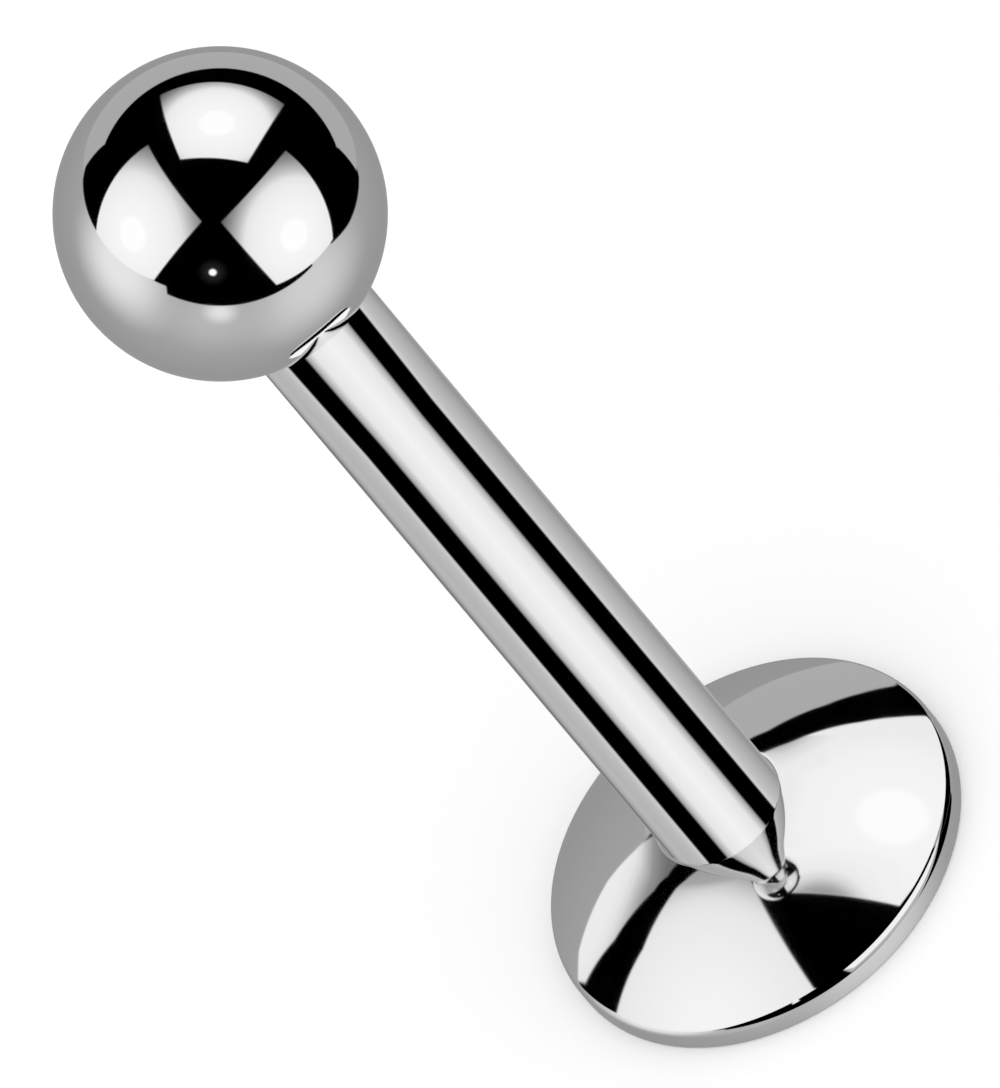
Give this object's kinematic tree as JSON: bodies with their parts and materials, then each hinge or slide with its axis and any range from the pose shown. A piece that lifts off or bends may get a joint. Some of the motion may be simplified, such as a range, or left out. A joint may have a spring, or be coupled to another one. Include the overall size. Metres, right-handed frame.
{
  "type": "labret stud",
  "caption": "Straight labret stud with a domed, flat-backed disc at one end and a screw-on ball at the other, all in mirror-polished steel.",
  "frame": {"origin": "centre of the disc's flat underside, which the stud stands on", "axes": "+Z along the post, from the disc towards the ball; the solids are round about Z, so +X and +Y are any two directions across it"},
  "size_m": [0.004, 0.004, 0.0119],
  "materials": {
    "disc_steel": "mirror-polished stainless steel",
    "post_steel": "mirror-polished stainless steel",
    "ball_steel": "mirror-polished stainless steel"
  },
  "bodies": {
    "stud": {"base_disc": "disc_steel", "post": "post_steel"},
    "ball": {"ball": "ball_steel"}
  },
  "joints": [
    {"name": "ball_unscrew", "type": "slide", "parent": "stud", "child": "ball", "axis": [0, 0, 1], "range_m": [0, 0.003]}
  ]
}
